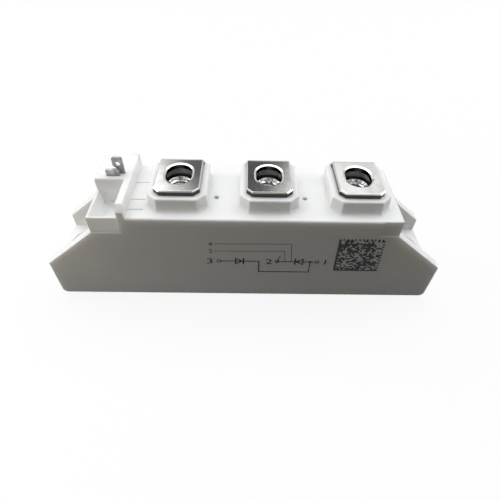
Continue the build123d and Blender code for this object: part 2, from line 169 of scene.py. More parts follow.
def colour_prop(name, description, default):
    """A linear colour."""
    return FloatVectorProperty(
        name=name, description=description, default=default, size=3, subtype="COLOR", min=0.0, max=1.0
    )


class ModuleColours(bpy.types.PropertyGroup):
    """Colours of the module's finishes."""

    plastic: colour_prop("Plastic", "White moulding compound of the case", (0.93, 0.93, 0.925))
    plastic_shade: colour_prop("Plastic shade", "Yellower flow marks in the case", (0.90, 0.896, 0.88))
    nickel: colour_prop("Nickel", "Bright plating of the terminals", (0.75, 0.745, 0.735))
    nickel_dull: colour_prop("Dull nickel", "Handled patches of the plating", (0.60, 0.59, 0.57))
    # Painted dark reflection on the terminals' upright faces; it also stands for the darker sheared cut
    # edges.
    cut_edge_and_painted_reflection: colour_prop("Sheared edge", "Darkened cut edges of the strip", (0.060, 0.058, 0.055))
    zinc: colour_prop("Zinc", "Plating of the nuts", (0.74, 0.74, 0.735))
    # Used for random oil and oxide patches in the thread, and as painted shade on the nuts' flat faces
    # under the plates.
    zinc_film_and_painted_shade: colour_prop("Zinc film", "Cutting oil and oxide in the thread", (0.07, 0.068, 0.065))
    tin: colour_prop("Tin", "Tinned control tabs", (0.60, 0.60, 0.59))
    # Used for random dull patches on the cathode tab, and as the painted dark reflection of the whole gate
    # tab.
    tin_dull_and_painted_reflection: colour_prop("Dull tin", "Dull patches of the control tabs", (0.24, 0.24, 0.235))
    base_metal: colour_prop("Base plating", "Nickel over the copper base plate", (0.70, 0.68, 0.64))
    base_dull: colour_prop("Dull base", "Handled patches of the base plate", (0.52, 0.50, 0.47))
    ink: colour_prop("Ink", "Black marking ink", (0.006, 0.0055, 0.005))
    faint_ink: colour_prop("Faint ink", "Thinly printed hairlines", (0.045, 0.042, 0.038))
    copper: colour_prop("Copper", "Bare foil on the ceramic", (0.80, 0.42, 0.28))
    solder: colour_prop("Solder", "Soft solder layers", (0.55, 0.55, 0.54))
    alumina: colour_prop("Alumina", "Fired ceramic plate", (0.88, 0.87, 0.84))
    silicon: colour_prop("Silicon", "Polished semiconductor dies", (0.12, 0.13, 0.16))
    contact: colour_prop("Contact metal", "Discs on the dies", (0.52, 0.52, 0.54))
    sleeve: colour_prop("Lead sleeve", "Red sleeve of the control leads", (0.62, 0.05, 0.03))
    gel: colour_prop("Gel", "Clear gel over the dies", (0.90, 0.92, 0.92))
    adhesive: colour_prop("Adhesive", "White film round the base plate", (0.80, 0.79, 0.74))
    floor: colour_prop("Floor", "Pale floor of the studio", (0.95, 0.95, 0.95))
    floor_bounce: colour_prop("Floor bounce", "What the floor gives the module", (0.055, 0.049, 0.040))


class ModuleSizes(bpy.types.PropertyGroup):
    """Sizes of the pieces that are made here."""

    thread_pitch: length_prop("Thread pitch", "Pitch of the M5 thread", 0.8)
    thread_crest: length_prop("Thread crest", "Radius at the crests of the nut's thread", 2.1)
    thread_root: length_prop("Thread root", "Radius at the roots of the nut's thread", 2.5)
    countersink: length_prop("Countersink", "Radius of the countersinks at the nut's faces", 2.72)
    nut_flats: length_prop("Across flats", "Width of the nuts across their flats", 8.0)
    nut_face: length_prop("Nut face radius", "Radius of the flat ring on the nuts' faces", 3.86)
    nut_segments: IntProperty(name="Nut segments", description="Points round each nut", default=96, min=24)
    ink_proud: length_prop("Ink thickness", "How far the print stands off the case", 0.012)
    bold_line: length_prop("Bold line", "Width of the symbol's lines", 0.27)
    thin_line: length_prop("Hairline", "Width of the thin lines", 0.13)
    digit_height: length_prop("Digit height", "Height of the terminal numbers", 1.8)
    small_digit_height: length_prop("Small digit height", "Height of the tab numbers", 1.3)
    pad_radius: length_prop("Circle radius", "Radius of the small circles at the terminals", 0.52)
    code_cells: IntProperty(name="Code cells", description="Cells along each side", default=24, min=8)


class StudioSettings(bpy.types.PropertyGroup):
    """The camera and lamps of the studio."""

    camera_place: FloatVectorProperty(
        name="Camera place",
        description="Where the lens stands",
        default=(-0.00044, -0.07053, 0.07996),
        size=3,
        subtype="TRANSLATION",
        precision=5,
    )
    camera_turn: angle_prop("Camera turn", "Turn to the right", 1.374)
    camera_dip: angle_prop("Camera dip", "Tilt below the horizon", 46.285)
    camera_roll: angle_prop("Camera roll", "Roll about the view line", 1.740)
    lens: number_prop("Lens", "Focal length on a 36 mm sensor", 27.56)
    key_power: number_prop("Key", "Power of the lamp above", 6.7)
    left_power: number_prop("Left rear", "Power of the lamp behind to the left", 0.34)
    right_power: number_prop("Right rear", "Power of the lamp behind to the right", 0.056)
    left_side_power: number_prop("Left side", "Power of the lamp on the left", 0.88)
    right_side_power: number_prop("Right side", "Power of the lamp on the right", 0.85)
    fill_power: number_prop("Fill", "Power of the lamp in front to the left", 0.036)
    ambient: number_prop("Ambient", "Level of the surrounding light", 0.015)
    card_level: number_prop("Card level", "How bright the dark cards show in metal", 0.05)


def add_node(tree, kind, place, **values):
    """Adds a node; keywords that name an attribute set it, and others set the input of that name."""
    node = tree.nodes.new(kind)
    node.location = place
    for key, value in values.items():
        if hasattr(node, key):
            setattr(node, key, value)
        else:
            node.inputs[key.replace("_", " ")].default_value = value
    return node


def add_ramp(tree, place, low, high, **values):
    """Adds a node that runs from 0 to 1 as its value runs from low to high."""
    ramp = add_node(tree, "ShaderNodeMapRange", place, **values)
    ramp.inputs["From Min"].default_value = low
    ramp.inputs["From Max"].default_value = high
    return ramp


def add_maths(tree, place, operation, *sources, **values):
    """Adds a maths node whose inputs are sockets or numbers."""
    maths = add_node(tree, "ShaderNodeMath", place, operation=operation, **values)
    for socket, source in zip(maths.inputs, sources):
        if isinstance(source, float):
            socket.default_value = source
        else:
            tree.links.new(source, socket)
    return maths.outputs[0]


def add_mix(tree, place, share, first, second):
    """Adds a mix of two colours, each a socket or a plain colour, by a socket that gives the share."""
    mix = add_node(tree, "ShaderNodeMix", place, data_type="RGBA")
    tree.links.new(share, mix.inputs[MIX_SHARE])
    for position, source in ((MIX_FIRST, first), (MIX_SECOND, second)):
        if isinstance(source, bpy.types.NodeSocket):
            tree.links.new(source, mix.inputs[position])
        else:
            mix.inputs[position].default_value = (*source, 1.0)
    return mix.outputs[MIX_RESULT]


def scaled(colour, share):
    """A colour made darker or lighter by a share."""
    return tuple(part * share for part in colour)


def new_mesh(name, bm):
    """Turns a bmesh into a mesh and frees it."""
    mesh = bpy.data.meshes.new(name)
    bm.to_mesh(mesh)
    bm.free()
    return mesh


def new_group(name, inputs, outputs):
    """A shader node group with float and colour sockets and its two end nodes."""
    group = bpy.data.node_groups.new(name, "ShaderNodeTree")
    for label, default in inputs:
        colour = isinstance(default, tuple)
        kind = "NodeSocketColor" if colour else "NodeSocketFloat"
        socket = group.interface.new_socket(name=label, in_out="INPUT", socket_type=kind)
        socket.default_value = default if not colour else (*default, 1.0)
    for label, kind in outputs:
        group.interface.new_socket(name=label, in_out="OUTPUT", socket_type=kind)
    start = add_node(group, "NodeGroupInput", (-1400, 0))
    end = add_node(group, "NodeGroupOutput", (900, 0))
    return group, start, end


def soft_edge_group():
    """Rounded edge normal and a mask of the edges, from the Bevel node."""
    group, start, end = new_group(
        "Soft edge",
        [("Radius", 0.0002)],
        [("Normal", "NodeSocketVector"), ("Edge", "NodeSocketFloat")],
    )
    link = group.links.new
    bevel = add_node(group, "ShaderNodeBevel", (-900, 100), samples=6)
    plain = add_node(group, "ShaderNodeNewGeometry", (-900, -150))
    dot = add_node(group, "ShaderNodeVectorMath", (-650, 0), operation="DOT_PRODUCT")
    mask = add_ramp(group, (-400, 0), *EDGE_TURN)
    link(start.outputs["Radius"], bevel.inputs["Radius"])
    link(bevel.outputs[0], dot.inputs[0])
    link(plain.outputs["Normal"], dot.inputs[1])
    link(dot.outputs["Value"], mask.inputs["Value"])
    link(bevel.outputs[0], end.inputs["Normal"])
    link(mask.outputs[0], end.inputs["Edge"])
    return group


def moulded_group(soft_edge):
    """Moulding compound: slow flow marks, fine eroded grain and a little gloss change."""
    group, start, end = new_group(
        "Moulded surface",
        [
            ("Colour", (0.8, 0.8, 0.8)),
            ("Flow colour", (0.7, 0.7, 0.7)),
            ("Flow scale", 90.0),
            ("Grain scale", 9000.0),
            ("Grain depth", 0.000004),
            ("Roughness", 0.4),
            ("Roughness spread", 0.1),
            ("Edge radius", 0.0002),
        ],
        [("Colour", "NodeSocketColor"), ("Roughness", "NodeSocketFloat"), ("Normal", "NodeSocketVector")],
    )
    link = group.links.new
    place = add_node(group, "ShaderNodeTexCoord", (-1200, -300))
    flow = add_node(group, "ShaderNodeTexNoise", (-900, 250), Detail=4.0, Distortion=0.6)
    grain = add_node(group, "ShaderNodeTexNoise", (-900, -100), Detail=3.0)
    speck = add_node(group, "ShaderNodeTexVoronoi", (-900, -400), Scale=SPECK_SCALE)
    for texture in (flow, grain, speck):
        link(place.outputs["Object"], texture.inputs["Vector"])
    link(start.outputs["Flow scale"], flow.inputs["Scale"])
    link(start.outputs["Grain scale"], grain.inputs["Scale"])
    tone = add_ramp(group, (-650, 250), *FLOW_MARKS)
    link(flow.outputs[0], tone.inputs["Value"])
    plain, marked = start.outputs["Colour"], start.outputs["Flow colour"]
    colour = add_mix(group, (-400, 300), tone.outputs[0], plain, marked)
    link(colour, end.inputs["Colour"])
    spread, roughness = start.outputs["Roughness spread"], start.outputs["Roughness"]
    gloss = add_maths(group, (-400, 50), "MULTIPLY_ADD", flow.outputs[0], spread, roughness)
    link(gloss, end.inputs["Roughness"])
    edge = add_node(group, "ShaderNodeGroup", (-400, -350), node_tree=soft_edge)
    link(start.outputs["Edge radius"], edge.inputs["Radius"])
    specks = speck.outputs["Distance"]
    height = add_maths(group, (-650, -150), "MULTIPLY_ADD", specks, SPECK_SHARE, grain.outputs[0])
    bump = add_node(group, "ShaderNodeBump", (-100, -200), Strength=1.0)
    link(height, bump.inputs["Height"])
    link(start.outputs["Grain depth"], bump.inputs["Distance"])
    link(edge.outputs["Normal"], bump.inputs["Normal"])
    link(bump.outputs[0], end.inputs["Normal"])
    return group


def plated_group(soft_edge):
    """Plated sheet: handled patches, rolling scratches, fine ripple and brighter rubbed edges."""
    group, start, end = new_group(
        "Plated surface",
        [
            ("Bright", (0.8, 0.8, 0.8)),
            ("Dull", (0.5, 0.5, 0.5)),
            ("Patch scale", 220.0),
            ("Scratch scale", 5200.0),
            ("Relief", 0.000003),
            ("Roughness", 0.2),
            ("Roughness spread", 0.15),
            ("Edge radius", 0.00015),
        ],
        [("Colour", "NodeSocketColor"), ("Roughness", "NodeSocketFloat"), ("Normal", "NodeSocketVector")],
    )
    link = group.links.new
    place = add_node(group, "ShaderNodeTexCoord", (-1200, -300))
    patch = add_node(group, "ShaderNodeTexNoise", (-900, 300), Detail=5.0, Distortion=0.4)
    ripple = add_node(group, "ShaderNodeTexNoise", (-900, 0), Scale=RIPPLE_SCALE, Detail=3.0)
    stretch = add_node(group, "ShaderNodeVectorMath", (-1050, -500), operation="MULTIPLY")
    stretch.inputs[1].default_value = SCRATCH_STRETCH
    scratch = add_node(group, "ShaderNodeTexNoise", (-900, -350), Detail=2.0)
    link(place.outputs["Object"], patch.inputs["Vector"])
    link(place.outputs["Object"], ripple.inputs["Vector"])
    link(place.outputs["Object"], stretch.inputs[0])
    link(stretch.outputs[0], scratch.inputs["Vector"])
    link(start.outputs["Patch scale"], patch.inputs["Scale"])
    link(start.outputs["Scratch scale"], scratch.inputs["Scale"])
    edge = add_node(group, "ShaderNodeGroup", (-400, -450), node_tree=soft_edge)
    link(start.outputs["Edge radius"], edge.inputs["Radius"])
    wear = add_ramp(group, (-650, 300), *WORN_PATCHES)
    link(patch.outputs[0], wear.inputs["Value"])
    edges = edge.outputs["Edge"]
    rubbed = add_maths(group, (-400, 450), "SUBTRACT", wear.outputs[0], edges, use_clamp=True)
    colour = add_mix(group, (-150, 300), rubbed, start.outputs["Bright"], start.outputs["Dull"])
    link(colour, end.inputs["Colour"])
    spread, roughness = start.outputs["Roughness spread"], start.outputs["Roughness"]
    gloss = add_maths(group, (-400, 100), "MULTIPLY_ADD", patch.outputs[0], spread, roughness)
    link(gloss, end.inputs["Roughness"])
    ripples, scratches = ripple.outputs[0], scratch.outputs[0]
    height = add_maths(group, (-400, -150), "MULTIPLY_ADD", ripples, RIPPLE_SHARE, scratches)
    bump = add_node(group, "ShaderNodeBump", (-100, -200), Strength=1.0)
    link(height, bump.inputs["Height"])
    link(start.outputs["Relief"], bump.inputs["Distance"])
    link(edge.outputs["Normal"], bump.inputs["Normal"])
    link(bump.outputs[0], end.inputs["Normal"])
    return group


def ink_group():
    """Pad-printed ink: a mask of thin spots and pinholes."""
    group, start, end = new_group(
        "Ink cover",
        [("Thin spots", 1600.0), ("Pinholes", 5200.0)],
        [("Thin", "NodeSocketFloat"), ("Height", "NodeSocketFloat")],
    )
    link = group.links.new
    place = add_node(group, "ShaderNodeTexCoord", (-1200, -300))
    spots = add_node(group, "ShaderNodeTexNoise", (-900, 200), Detail=4.0)
    holes = add_node(group, "ShaderNodeTexNoise", (-900, -100), Detail=2.0)
    link(place.outputs["Object"], spots.inputs["Vector"])
    link(place.outputs["Object"], holes.inputs["Vector"])
    link(start.outputs["Thin spots"], spots.inputs["Scale"])
    link(start.outputs["Pinholes"], holes.inputs["Scale"])
    both = add_maths(group, (-600, 100), "MULTIPLY", spots.outputs[0], holes.outputs[0])
    thin = add_ramp(group, (-300, 100), *THIN_INK)
    link(both, thin.inputs["Value"])
    link(thin.outputs[0], end.inputs["Thin"])
    link(holes.outputs[0], end.inputs["Height"])
    return group


def effect(name):
    """A shared effect by name, built the first time it is asked for."""
    known = bpy.data.node_groups.get(name)
    if known:
        return known
    if name == "Soft edge":
        return soft_edge_group()
    if name == "Moulded surface":
        return moulded_group(effect("Soft edge"))
    if name == "Plated surface":
        return plated_group(effect("Soft edge"))
    if name == "Ink cover":
        return ink_group()
    raise RuntimeError("no shared effect is called " + name)


def shader_of(material):
    """The Principled shader of a material."""
    return material.node_tree.nodes["Principled BSDF"]


def new_material(name):
    """A material with its Principled shader."""
    material = bpy.data.materials.new(name)
    material.use_nodes = True
    return material


def surface_material(name, effect_name, values):
    """A material whose colour, roughness and normal come from a shared effect."""
    material = new_material(name)
    tree = material.node_tree
    surface = add_node(tree, "ShaderNodeGroup", (-700, 200), node_tree=effect(effect_name))
    for label, value in values.items():
        surface.inputs[label].default_value = value if isinstance(value, float) else (*value, 1.0)
    for source, target in (("Colour", "Base Color"), ("Roughness", "Roughness"), ("Normal", "Normal")):
        tree.links.new(surface.outputs[source], shader_of(material).inputs[target])
    return material


def moulded_material(
    name, colour, flow_colour, roughness=0.36, spread=0.12, grain=9000.0, depth=4e-6, edge=2e-4
):
    """Moulded compound with its grain."""
    values = {
        "Colour": colour,
        "Flow colour": flow_colour,
        "Roughness": roughness,
        "Roughness spread": spread,
        "Grain scale": grain,
        "Grain depth": depth,
        "Edge radius": edge,
    }
    return surface_material(name, "Moulded surface", values)


def plated_material(name, bright, dull, roughness=0.2, spread=0.15, patch=220.0, relief=3e-6, edge=1.5e-4):
    """Metal with plating or tin."""
    values = {
        "Bright": bright,
        "Dull": dull,
        "Roughness": roughness,
        "Roughness spread": spread,
        "Patch scale": patch,
        "Relief": relief,
        "Edge radius": edge,
    }
    material = surface_material(name, "Plated surface", values)
    shader_of(material).inputs["Metallic"].default_value = 1.0
    return material


def paint_shade_by_tilt(material, span, colour):
    """Paints light into the colour: mixes a darker colour over faces by how far upward they look, as
    painted shade and painted dark reflection.
    """
    tree = material.node_tree
    base = shader_of(material).inputs["Base Color"]
    plain = add_node(tree, "ShaderNodeNewGeometry", (-700, -200))
    part = add_node(tree, "ShaderNodeSeparateXYZ", (-500, -200))
    mask = add_ramp(tree, (-320, -200), *span)
    tree.links.new(plain.outputs["Normal"], part.inputs[0])
    tree.links.new(part.outputs["Z"], mask.inputs["Value"])
    mixed = add_mix(tree, (-150, 350), mask.outputs[0], base.links[0].from_socket, colour)
    tree.links.new(mixed, base)


def paint_node(name, material):
    """Gives a carried-over CAD node its material."""
    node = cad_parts[name]
    node.data.materials.clear()
    node.data.materials.append(material)


def new_piece(name, mesh, material):
    """Links a new mesh as a piece that rides on the module."""
    piece = bpy.data.objects.new(name, mesh)
    bpy.context.scene.collection.objects.link(piece)
    mesh.materials.clear()
    mesh.materials.append(material)
    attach(piece, BODY)
    return piece


class MODULE_OT_dress_case(bpy.types.Operator):
    """Gives the moulded case its white satin compound"""

    bl_idname = "module.dress_case"
    bl_label = "Moulded Case"

    def execute(self, context):
        colours = context.scene.module_colours
        material = moulded_material(
            "case_plastic", colours.plastic, colours.plastic_shade, roughness=0.34, edge=0.00028
        )
        shader = shader_of(material)
        shader.inputs["Subsurface Weight"].default_value = 0.7
        shader.inputs["Subsurface Radius"].default_value = (1.0, 0.92, 0.8)
        shader.inputs["Subsurface Scale"].default_value = 0.0014
        shader.inputs["IOR"].default_value = 1.5
        paint_node("housing", material)
        return {"FINISHED"}


class MODULE_OT_dress_terminals(bpy.types.Operator):
    """Gives the folded terminals bright nickel, with a painted dark reflection on their upright faces that
    also stands for the sheared edges
    """

    bl_idname = "module.dress_terminals"
    bl_label = "Terminals"

    def execute(self, context):
        colours = context.scene.module_colours
        material = plated_material(
            "terminal_nickel",
            colours.nickel,
            colours.nickel_dull,
            roughness=0.10,
            spread=0.08,
            relief=1.6e-6,
            edge=8e-5,
        )
        # Painted dark reflection: upright faces of the terminals, hole walls among them, turn near black;
        # this also stands for the sheared cut edges.
        paint_shade_by_tilt(material, DARK_REFLECTION_TILT, colours.cut_edge_and_painted_reflection)
        for name in TERMINALS:
            paint_node(name, material)
        return {"FINISHED"}


class MODULE_OT_dress_tabs(bpy.types.Operator):
    """Gives the two control tabs their tin, the gate tab a darker copy as painted dark reflection"""

    bl_idname = "module.dress_tabs"
    bl_label = "Control Tabs"

    def execute(self, context):
        colours = context.scene.module_colours
        tinned = plated_material(
            "tab_tin", colours.tin, colours.tin_dull_and_painted_reflection, roughness=0.28, spread=0.2, patch=500.0, edge=0.0001
        )
        paint_node("cathode_tab", tinned)
        # Painted dark reflection: the gate tab gets a darker copy of the same tin.
        darker_reflection_tin = scaled(colours.tin, 0.65)
        dark_reflection_tin = plated_material(
            "tab_tin_handled", colours.tin_dull_and_painted_reflection, darker_reflection_tin, roughness=0.3, spread=0.2, patch=500.0, edge=0.0001
        )
        paint_node("gate_tab", dark_reflection_tin)
        return {"FINISHED"}


class MODULE_OT_dress_base(bpy.types.Operator):
    """Gives the base plate its lapped nickel and the film round it"""

    bl_idname = "module.dress_base"
    bl_label = "Base Plate"

    def execute(self, context):
        colours = context.scene.module_colours
        plating = plated_material(
            "base_nickel",
            colours.base_metal,
            colours.base_dull,
            roughness=0.26,
            spread=0.18,
            patch=90.0,
            relief=6e-6,
        )
        paint_node("base_plate", plating)
        film = moulded_material(
            "adhesive_film", colours.adhesive, colours.adhesive, roughness=0.5, grain=3000.0, depth=1e-5
        )
        paint_node("adhesive_film", film)
        return {"FINISHED"}


class MODULE_OT_dress_inside(bpy.types.Operator):
    """Gives the sealed stack, leads and gel their materials"""

    bl_idname = "module.dress_inside"
    bl_label = "Sealed Stack"

    def execute(self, context):
        colours = context.scene.module_colours
        copper = plated_material("copper_foil", colours.copper, scaled(colours.copper, 0.6), roughness=0.3)
        solder = plated_material(
            "soft_solder", colours.solder, scaled(colours.solder, 0.7), roughness=0.42, relief=1e-5
        )
        contact = plated_material(
            "contact_metal", colours.contact, scaled(colours.contact, 0.8), roughness=0.34
        )
        ceramic = moulded_material("fired_alumina", colours.alumina, colours.alumina, roughness=0.55)
        silicon = moulded_material(
            "polished_silicon", colours.silicon, scaled(colours.silicon, 0.8), roughness=0.1, depth=1e-6
        )
        sleeve = moulded_material("lead_sleeve", colours.sleeve, scaled(colours.sleeve, 0.8), roughness=0.5)
        gel = moulded_material("clear_gel", colours.gel, colours.gel, roughness=0.08, depth=2e-6)
        shader = shader_of(gel)
        shader.inputs["Transmission Weight"].default_value = 0.9
        shader.inputs["IOR"].default_value = 1.41
        for name, material in (
            ("lower_foil", copper),
            ("common_pad", copper),
            ("substrate_solder", solder),
            ("diode_solder", solder),
            ("thyristor_solder", solder),
            ("diode_disc", contact),
            ("thyristor_disc", contact),
            ("ceramic_plate", ceramic),
            ("diode_die", silicon),
            ("thyristor_die", silicon),
            ("gate_lead", sleeve),
            ("cathode_lead", sleeve),
            ("silicone_gel", gel),
        ):
            paint_node(name, material)
        return {"FINISHED"}


def hex_radius(angle, flats):
    """Distance from a nut's axis to its outline at an angle."""
    return flats / 2 / math.cos((angle % (math.pi / 3)) - math.pi / 6)


def thread_radius(angle, height, sizes):
    """Bore radius of a right-hand thread at an angle and height."""
    turn = (height / sizes.thread_pitch - angle / (2 * math.pi)) % 1.0
    flank = min(1.0, max(0.0, (abs(2 * turn - 1) - ROOT_FLAT) / FLANK_SPAN))
    return sizes.thread_root + (sizes.thread_crest - sizes.thread_root) * flank


def add_nut(bm, centre_x, low, high, sizes):
    """Adds one closed nut: bore with thread and countersinks, flat faces and a bevelled hexagon."""
    count = sizes.nut_segments
    angles = [2 * math.pi * i / count for i in range(count)]
    rows = int(round((high - low) / sizes.thread_pitch * THREAD_ROWS))
    slope = math.tan(NUT_BEVEL_ANGLE)
    rings = []
    for row in range(rows + 1):
        height = low + (high - low) * row / rows
        depth = min(height - low, high - height)
        cone = sizes.countersink - depth / math.tan(COUNTERSINK_ANGLE)
        rings.append([(max(thread_radius(a, height, sizes), cone), height) for a in angles])
    rings[0] = [(sizes.countersink, low) for a in angles]
    rings[-1] = [(sizes.countersink, high) for a in angles]
    outline = [hex_radius(a, sizes.nut_flats) for a in angles]
    rings.append([(sizes.nut_face, high) for r in outline])
    rings.append([(r, high - (r - sizes.nut_face) * slope) for r in outline])
    rings.append([(r, low + (r - sizes.nut_face) * slope) for r in outline])
    rings.append([(sizes.nut_face, low) for r in outline])
    grid = []
    for ring in rings:
        places = [(centre_x + r * math.cos(a), r * math.sin(a), z) for a, (r, z) in zip(angles, ring)]
        grid.append([bm.verts.new(place) for place in places])
    for lower, upper in zip(grid, grid[1:] + grid[:1]):
        for i in range(count):
            bm.faces.new((lower[i], upper[i], upper[i - 1], lower[i - 1]))


class MODULE_OT_make_nuts(bpy.types.Operator):
    """Makes the three captive nuts with a real M5 thread"""

    bl_idname = "module.make_nuts"
    bl_label = "Threaded Nuts"

    def execute(self, context):
        colours = context.scene.module_colours
        sizes = context.scene.module_sizes
        bm = bmesh.new()
        for name in TERMINALS:
            low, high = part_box(name)
            add_nut(bm, (low[0] + high[0]) / 2, NUT_LOW[2], NUT_HIGH[2], sizes)
        bmesh.ops.recalc_face_normals(bm, faces=bm.faces)
        mesh = new_mesh("threaded_nuts", bm)
        material = plated_material(
            "nut_zinc",
            colours.zinc,
            colours.zinc_film_and_painted_shade,
            roughness=0.12,
            spread=0.1,
            patch=2200.0,
            relief=1.2e-5,
            edge=5e-5,
        )
        # Painted shade: the nuts' flat faces, in the shadow under the plates, are darkened.
        paint_shade_by_tilt(material, NUT_FACE_PAINTED_SHADE, colours.zinc_film_and_painted_shade)
        nuts = new_piece("threaded_nuts", mesh, material)
        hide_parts("terminal_nuts")
        return {"FINISHED"}


def add_outline(bm, points):
    """Adds one flat printed face from points along and up the front of the case."""
    return bm.faces.new([bm.verts.new((x * MM, 0.0, z * MM)) for x, z in points])


def add_line(bm, start, end, width):
    """Adds a printed line with square ends between two points."""
    along = Vector((end[0] - start[0], end[1] - start[1])).normalized()
    across = Vector((-along.y, along.x)) * width / 2
    a = Vector(start) - along * width / 2
    b = Vector(end) + along * width / 2
    add_outline(bm, [a - across, b - across, b + across, a + across])


def add_path(bm, points, width):
    """Adds a printed line through several points."""
    for start, end in zip(points, points[1:]):
        add_line(bm, start, end, width)


def add_ring(bm, centre, outer, inner=0.0, count=28):
    """Adds a printed circle, open in the middle where an inner radius is given."""
    spots = [(math.cos(2 * math.pi * i / count), math.sin(2 * math.pi * i / count)) for i in range(count)]
    rim = [(centre[0] + outer * c, centre[1] + outer * s) for c, s in spots]
    if not inner:
        add_outline(bm, rim)
        return
    hole = [(centre[0] + inner * c, centre[1] + inner * s) for c, s in spots]
    for i in range(count):
        add_outline(bm, [rim[i - 1], rim[i], hole[i], hole[i - 1]])


def add_digit(bm, digit, centre, height, stretch):
    """Adds a plain printed digit, centred on a point and drawn wide by its stretch."""
    letter = bpy.data.curves.new("digit", "FONT")
    letter.body = digit
    letter.size = height / CAP_HEIGHT
    letter.align_x = "CENTER"
    letter.resolution_u = 3
    holder = bpy.data.objects.new("digit", letter)
    bpy.context.scene.collection.objects.link(holder)
    graph = bpy.context.evaluated_depsgraph_get()
    flat = bpy.data.meshes.new_from_object(holder.evaluated_get(graph))
    verts = [
        bm.verts.new(((centre[0] + v.co.x * stretch) * MM, 0.0, (centre[1] - height / 2 + v.co.y) * MM))
        for v in flat.vertices
    ]
    for face in flat.polygons:
        bm.faces.new([verts[i] for i in face.vertices])
    bpy.data.objects.remove(holder)
    bpy.data.curves.remove(letter)
    bpy.data.meshes.remove(flat)


def raise_print(bm, name, proud):
    """Turns flat printed faces into a thin layer on the front of the case."""
    bmesh.ops.recalc_face_normals(bm, faces=bm.faces)
    for face in bm.faces:
        if face.normal.y > 0:
            face.normal_flip()
    flat = list(bm.faces)
    raised = bmesh.ops.extrude_face_region(bm, geom=flat, use_keep_orig=True)
    moved = {item for item in raised["geom"] if isinstance(item, bmesh.types.BMVert)}
    for vert in bm.verts:
        vert.co.y = FRONT - proud if vert in moved else FRONT + proud / 2
    bmesh.ops.recalc_face_normals(bm, faces=bm.faces)
    return new_mesh(name, bm)


def ink_material(name, colour, worn_colour, roughness):
    """Pad-printed ink, thinner in spots."""
    material = new_material(name)
    tree, shader = material.node_tree, shader_of(material)
    cover = add_node(tree, "ShaderNodeGroup", (-700, 100), node_tree=effect("Ink cover"))
    mixed = add_mix(tree, (-350, 200), cover.outputs["Thin"], colour, worn_colour)
    bump = add_node(tree, "ShaderNodeBump", (-350, -150), Strength=0.6, Distance=0.000004)
    tree.links.new(cover.outputs["Height"], bump.inputs["Height"])
    tree.links.new(mixed, shader.inputs["Base Color"])
    tree.links.new(bump.outputs[0], shader.inputs["Normal"])
    shader.inputs["Roughness"].default_value = roughness
    shader.inputs["Specular IOR Level"].default_value = 0.2
    return material


class MODULE_OT_print_circuit(bpy.types.Operator):
    """Prints the plain circuit symbol and terminal numbers on the front"""

    bl_idname = "module.print_circuit"
    bl_label = "Circuit Symbol"

    def execute(self, context):
        colours = context.scene.module_colours
        sizes = context.scene.module_sizes
        bold = sizes.bold_line / MM
        pad = sizes.pad_radius / MM
        proud = sizes.ink_proud
        bm = bmesh.new()
        for digit, centre in TERMINAL_DIGITS:
            add_digit(bm, digit, centre, sizes.digit_height / MM, DIGIT_STRETCH)
        for centre in OPEN_CIRCLES:
            add_ring(bm, centre, pad, pad - bold * CIRCLE_LINE)
        add_ring(bm, NARROW_CIRCLE, pad, pad * NARROW_HOLE)
        add_ring(bm, JUNCTION, bold * JUNCTION_RADIUS)
        for share, points in CIRCUIT_PATHS:
            add_path(bm, points, bold * share)
        mesh = raise_print(bm, "circuit_print", proud)
        black = ink_material("black_ink", colours.ink, scaled(colours.ink, 3), 0.42)
        new_piece("circuit_print", mesh, black)

        thin = sizes.thin_line / MM
        small = sizes.small_digit_height / MM
        bm = bmesh.new()
        for points in HAIRLINES:
            add_path(bm, points, thin)
        for digit, centre in TAB_DIGITS:
            add_digit(bm, digit, centre, small, SMALL_DIGIT_STRETCH)
        mesh = raise_print(bm, "hairline_print", proud * HAIRLINE_INK)
        faint = ink_material("faint_ink", colours.faint_ink, scaled(colours.faint_ink, 4), 0.5)
        new_piece("hairline_print", mesh, faint)
        return {"FINISHED"}


class MODULE_OT_print_code(bpy.types.Operator):
    """Prints a plain square dot pattern that holds no message"""

    bl_idname = "module.print_code"
    bl_label = "Square Pattern"

    def execute(self, context):
        colours = context.scene.module_colours
        sizes = context.scene.module_sizes
        cells = sizes.code_cells
        corners = [Vector(corner) for corner in CODE_CORNERS]
        draw = random.Random(CODE_SEED)

        def spot(u, v):
            low = corners[0].lerp(corners[1], u / cells)
            high = corners[3].lerp(corners[2], u / cells)
            return low.lerp(high, v / cells)

        bm = bmesh.new()
        for row in range(cells):
            column = 0
            while column < cells:
                border = row == 0 or column == 0
                clock = (row == cells - 1 and column % 2 == 0) or (column == cells - 1 and row % 2 == 0)
                inside = 0 < row < cells - 1 and 0 < column < cells - 1
                dark = border or clock or (inside and draw.random() < CODE_FILL)
                if not dark:
                    column += 1
                    continue
                end = cells if row == 0 else column + 1
                cell = [spot(column, row), spot(end, row), spot(end, row + 1), spot(column, row + 1)]
                add_outline(bm, cell)
                column = end
        mesh = raise_print(bm, "code_print", sizes.ink_proud)
        material = ink_material("code_ink", colours.ink, scaled(colours.ink, 4), 0.45)
        new_piece("code_print", mesh, material)
        return {"FINISHED"}


def add_lamp(name, place, width, height, colour, power):
    """Adds a soft box that is turned to the module."""
    light = bpy.data.lights.new(name, "AREA")
    light.shape = "RECTANGLE"
    light.size = width
    light.size_y = height
    light.energy = power
    light.color = colour
    lamp = bpy.data.objects.new(name, light)
    bpy.context.scene.collection.objects.link(lamp)
    lamp.visible_camera = False
    lamp.location = place
    lamp.rotation_euler = (Vector(AIM) - Vector(place)).to_track_quat("-Z", "Y").to_euler()


